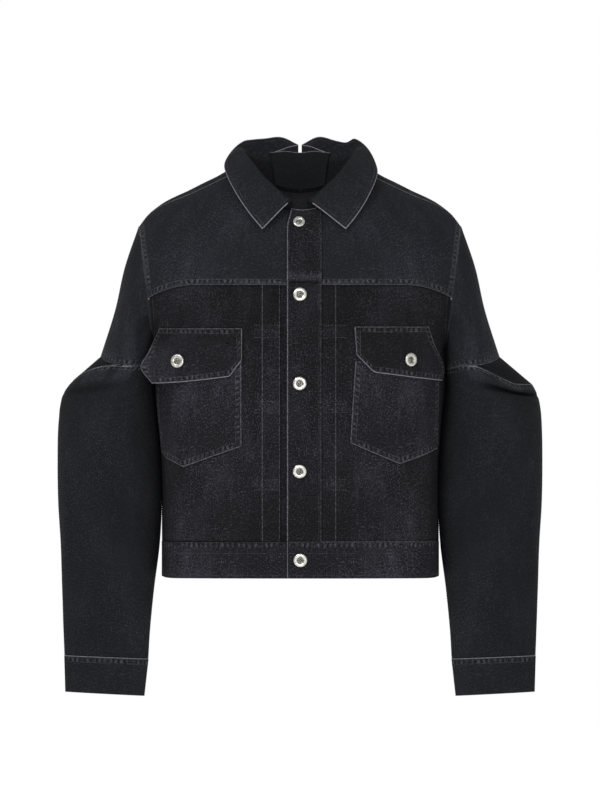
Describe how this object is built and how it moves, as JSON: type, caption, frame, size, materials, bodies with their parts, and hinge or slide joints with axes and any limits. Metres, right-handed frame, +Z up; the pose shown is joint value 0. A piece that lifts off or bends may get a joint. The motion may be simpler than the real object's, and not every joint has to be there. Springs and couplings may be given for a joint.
{
  "type": "denim jacket",
  "caption": "Short, boxy washed black denim jacket with a pointed collar, chest flap pockets, a buttoned placket and sleeves that balloon below an elbow gusset.",
  "frame": {"origin": "centre of the neck base, where the wearer's shoulders and neck hold the jacket", "axes": "+X the wearer's left, -Y the front, +Z up"},
  "size_m": [0.703, 0.2571, 0.8119],
  "materials": {
    "denim": "washed black denim, slubby twill, pale at worn edges",
    "sleeve_denim": "washed black denim, a shade darker",
    "button_metal": "satin, dished centre"
  },
  "bodies": {
    "root": {"front_yoke_right": "denim", "front_body_right": "denim", "waistband_front_right": "denim", "pocket_right": "denim", "flap_right": "denim", "collar_right": "denim", "front_yoke_left": "denim", "front_body_left": "denim", "waistband_front_left": "denim", "pocket_left": "denim", "flap_left": "denim", "collar_left": "denim", "back_body": "denim", "back_yoke": "denim", "waistband_back": "denim", "collar_underlay": "denim", "front_placket": "denim", "under_placket": "denim", "upper_sleeve_front_right": "sleeve_denim", "upper_sleeve_back_right": "sleeve_denim", "elbow_gusset_right": "sleeve_denim", "lower_sleeve_front_right": "sleeve_denim", "lower_sleeve_back_right": "sleeve_denim", "cuff_right": "sleeve_denim", "upper_sleeve_front_left": "sleeve_denim", "upper_sleeve_back_left": "sleeve_denim", "elbow_gusset_left": "sleeve_denim", "lower_sleeve_front_left": "sleeve_denim", "lower_sleeve_back_left": "sleeve_denim", "cuff_left": "sleeve_denim", "front_button_1": "button_metal", "front_button_2": "button_metal", "front_button_3": "button_metal", "front_button_4": "button_metal", "front_button_5": "button_metal", "flap_button_right": "button_metal", "flap_button_left": "button_metal"}
  },
  "joints": []
}
